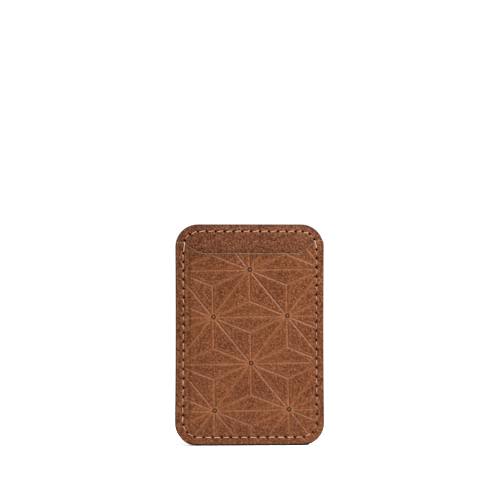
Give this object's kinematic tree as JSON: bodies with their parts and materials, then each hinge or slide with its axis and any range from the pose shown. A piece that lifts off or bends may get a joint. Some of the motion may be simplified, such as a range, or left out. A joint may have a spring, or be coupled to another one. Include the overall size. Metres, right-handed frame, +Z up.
{
  "type": "magnetic card wallet",
  "caption": "Slim stitched leather card pocket that clings by a hidden ring of magnets to the back of a phone, with a star lattice pressed into its front.",
  "frame": {"origin": "centre of the wallet's footprint, with the wallet standing on its bottom edge", "axes": "+Z up to the pocket's mouth, -Y out of the embossed card pocket, +Y out of the phone side, +X to the right as seen from the pocket side"},
  "size_m": [0.065, 0.0052, 0.0975],
  "materials": {
    "embossed_leather": "semi-matt vegetable-tanned leather, pressed pattern, mottled mid brown",
    "plain_leather": "semi-matt leather, darker mid brown",
    "phone_side_leather": "smooth matt leather",
    "spacer_board": "stiff dark spacer board",
    "linen_thread": "waxed twisted thread, light tan",
    "nickel_plate": "satin nickel plating",
    "shield_steel": "thin zinc-coated sheet",
    "adhesive_film": "double-sided film"
  },
  "bodies": {
    "root": {"front_pocket_panel": "embossed_leather", "card_backing_panel": "plain_leather", "core_board": "spacer_board", "core_disc": "spacer_board", "phone_side_panel": "phone_side_leather", "ring_magnet_01": "nickel_plate", "ring_magnet_02": "nickel_plate", "ring_magnet_03": "nickel_plate", "ring_magnet_04": "nickel_plate", "ring_magnet_05": "nickel_plate", "ring_magnet_06": "nickel_plate", "ring_magnet_07": "nickel_plate", "ring_magnet_08": "nickel_plate", "ring_magnet_09": "nickel_plate", "ring_magnet_10": "nickel_plate", "ring_magnet_11": "nickel_plate", "ring_magnet_12": "nickel_plate", "ring_magnet_13": "nickel_plate", "ring_magnet_14": "nickel_plate", "ring_magnet_15": "nickel_plate", "ring_magnet_16": "nickel_plate", "ring_magnet_17": "nickel_plate", "ring_magnet_18": "nickel_plate", "alignment_magnet": "nickel_plate", "ring_shield": "shield_steel", "alignment_shield": "shield_steel", "ring_adhesive": "adhesive_film", "alignment_adhesive": "adhesive_film", "front_thread": "linen_thread", "back_thread": "linen_thread"}
  },
  "joints": []
}
